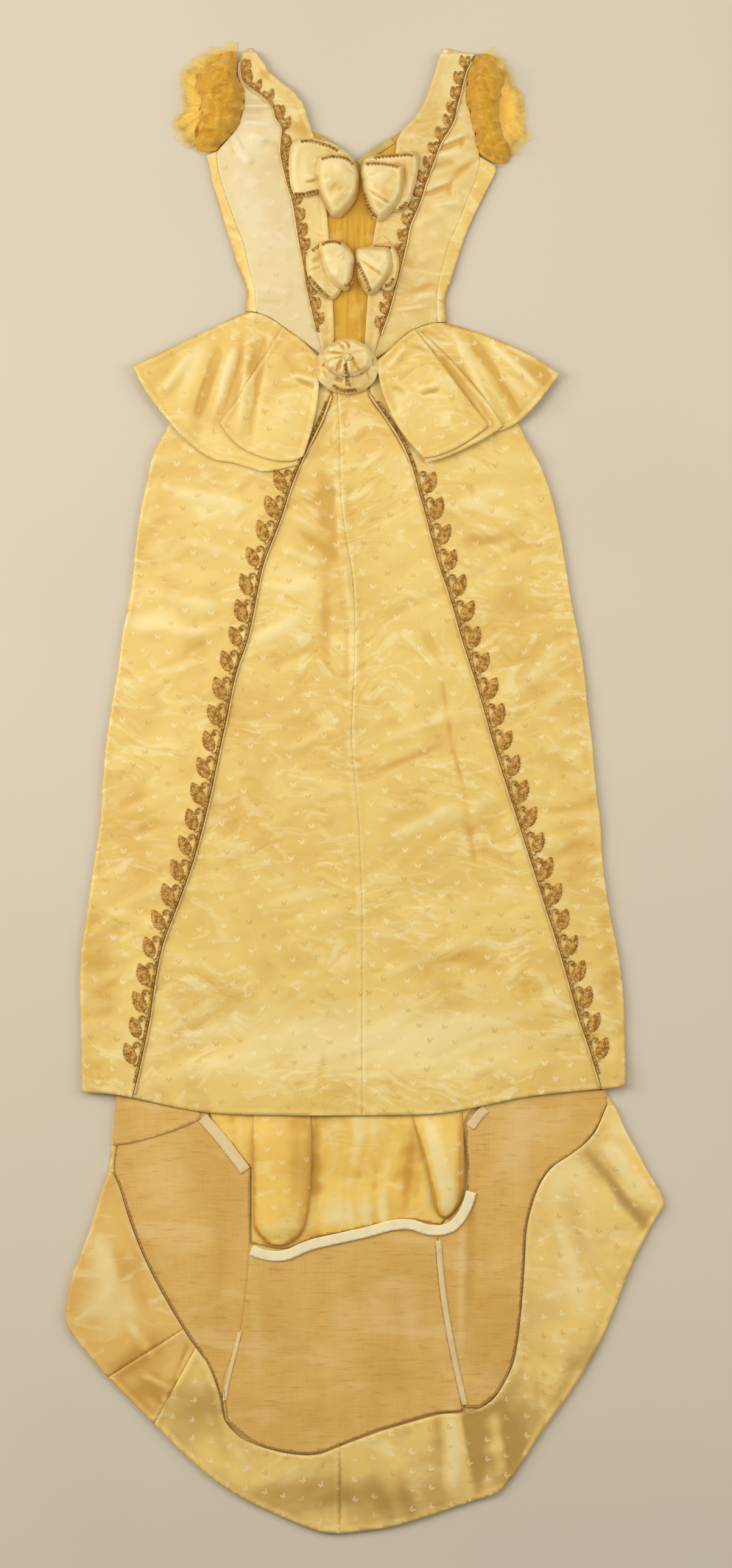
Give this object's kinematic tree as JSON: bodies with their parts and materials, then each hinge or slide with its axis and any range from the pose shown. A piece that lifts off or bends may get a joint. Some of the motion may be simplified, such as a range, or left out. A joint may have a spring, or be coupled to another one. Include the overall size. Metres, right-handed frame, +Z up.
{
  "type": "ball gown",
  "caption": "Trained ball gown of gold figured satin laid flat: low bodice with tulle sleeves and bows, waist rosette, flared peplum, leaf braid on the skirt, train wrong side up.",
  "frame": {"origin": "centre of the gown's outline at the surface it lies on", "axes": "+Y towards the neck, -Y towards the end of the train, +X towards the right of the gown as seen from above, +Z up out of the surface"},
  "size_m": [0.787, 1.9548, 0.0365],
  "materials": {
    "satin": "figured silk satin, soft sheen",
    "pale_satin": "figured silk satin, paler, soft sheen",
    "plain_satin": "plain silk satin, soft sheen",
    "vest": "matt gathered silk",
    "neck_band": "matt silk lining",
    "tulle": "matt silk tulle",
    "braid": "metal thread braid, glinting",
    "cord": "satin covered piping",
    "canvas": "matt linen canvas",
    "tape": "matt cotton tape"
  },
  "bodies": {
    "root": {"skirt_back_left": "satin", "skirt_back_right": "satin", "train_facing_left_upper": "plain_satin", "train_facing_left_gusset": "plain_satin", "train_facing_left": "satin", "train_facing_right": "satin", "canvas_left": "canvas", "canvas_centre": "canvas", "canvas_right": "canvas", "back_gathers": "satin", "back_pleat_left": "satin", "back_pleat_right": "satin", "canvas_tape_centre": "tape", "canvas_tape_left": "tape", "canvas_tape_right": "tape", "canvas_seam_tape_right": "tape", "canvas_flap": "canvas", "skirt_front_left": "satin", "skirt_front_right": "satin", "skirt_side_left": "satin", "skirt_side_right": "satin", "skirt_piping_left": "cord", "skirt_piping_right": "cord", "skirt_leaf_braid_left": "braid", "skirt_leaf_braid_right": "braid", "peplum_back": "satin", "peplum_left_flare": "satin", "peplum_left_front": "satin", "peplum_right_flare": "satin", "peplum_right_middle": "satin", "peplum_right_front": "satin", "bodice_front_left": "pale_satin", "bodice_side_left": "satin", "revers_left": "pale_satin", "bodice_piping_left": "cord", "bodice_leaf_braid_left": "braid", "bodice_front_right": "satin", "bodice_side_right": "satin", "revers_right": "pale_satin", "bodice_piping_right": "cord", "bodice_leaf_braid_right": "braid", "vest": "vest", "neck_band_left": "neck_band", "neck_band_right": "neck_band", "bodice_back": "satin", "sleeve_puff_left": "tulle", "sleeve_puff_right": "tulle", "sleeve_frill_left": "tulle", "sleeve_frill_right": "tulle", "bow_upper_left_back": "pale_satin", "bow_upper_right_back": "pale_satin", "bow_upper_left_front": "pale_satin", "bow_upper_right_front": "pale_satin", "bow_lower_left_back": "pale_satin", "bow_lower_right_back": "pale_satin", "bow_lower_left_front": "pale_satin", "bow_lower_right_front": "pale_satin", "rosette_ring": "pale_satin", "rosette_cap": "pale_satin", "rosette_knot": "pale_satin"}
  },
  "joints": []
}
